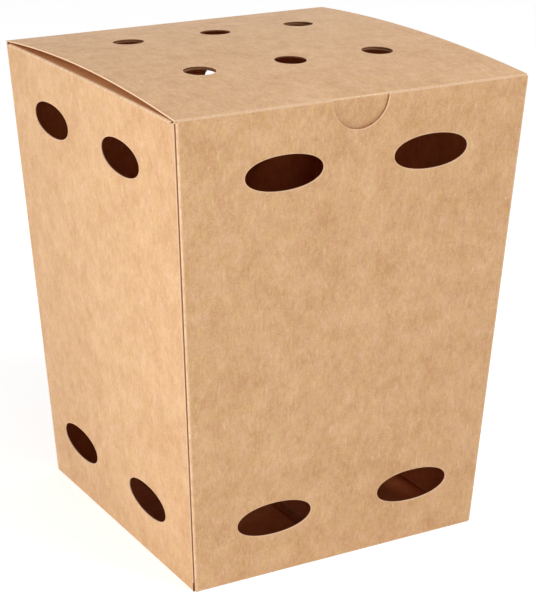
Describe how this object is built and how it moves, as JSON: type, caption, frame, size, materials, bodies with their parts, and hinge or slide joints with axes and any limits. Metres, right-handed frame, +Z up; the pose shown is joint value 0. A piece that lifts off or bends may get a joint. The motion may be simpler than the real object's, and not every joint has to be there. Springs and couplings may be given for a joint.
{
  "type": "french fry box",
  "caption": "Tapered takeaway fry box of folded kraft board with oval wall vents, a hinged tuck lid with round vents and a thumb notch, standing closed.",
  "frame": {"origin": "centre of the footprint, on the surface the box stands on", "axes": "+Z up, -Y out of the front wall with the thumb notch, +X to the right seen from the front"},
  "size_m": [0.12, 0.122, 0.1543],
  "materials": {
    "kraft_board": "uncoated matte",
    "kraft_lid": "uncoated matte"
  },
  "bodies": {
    "carton": {"carton_body": "kraft_board"},
    "lid_panel": {"lid": "kraft_lid"}
  },
  "joints": [
    {"name": "lid_hinge", "type": "hinge", "parent": "carton", "child": "lid_panel", "pos_m": [0, 0.06077, 0.15077], "axis": [-1, 0, 0], "range_deg": [0, 180]}
  ]
}
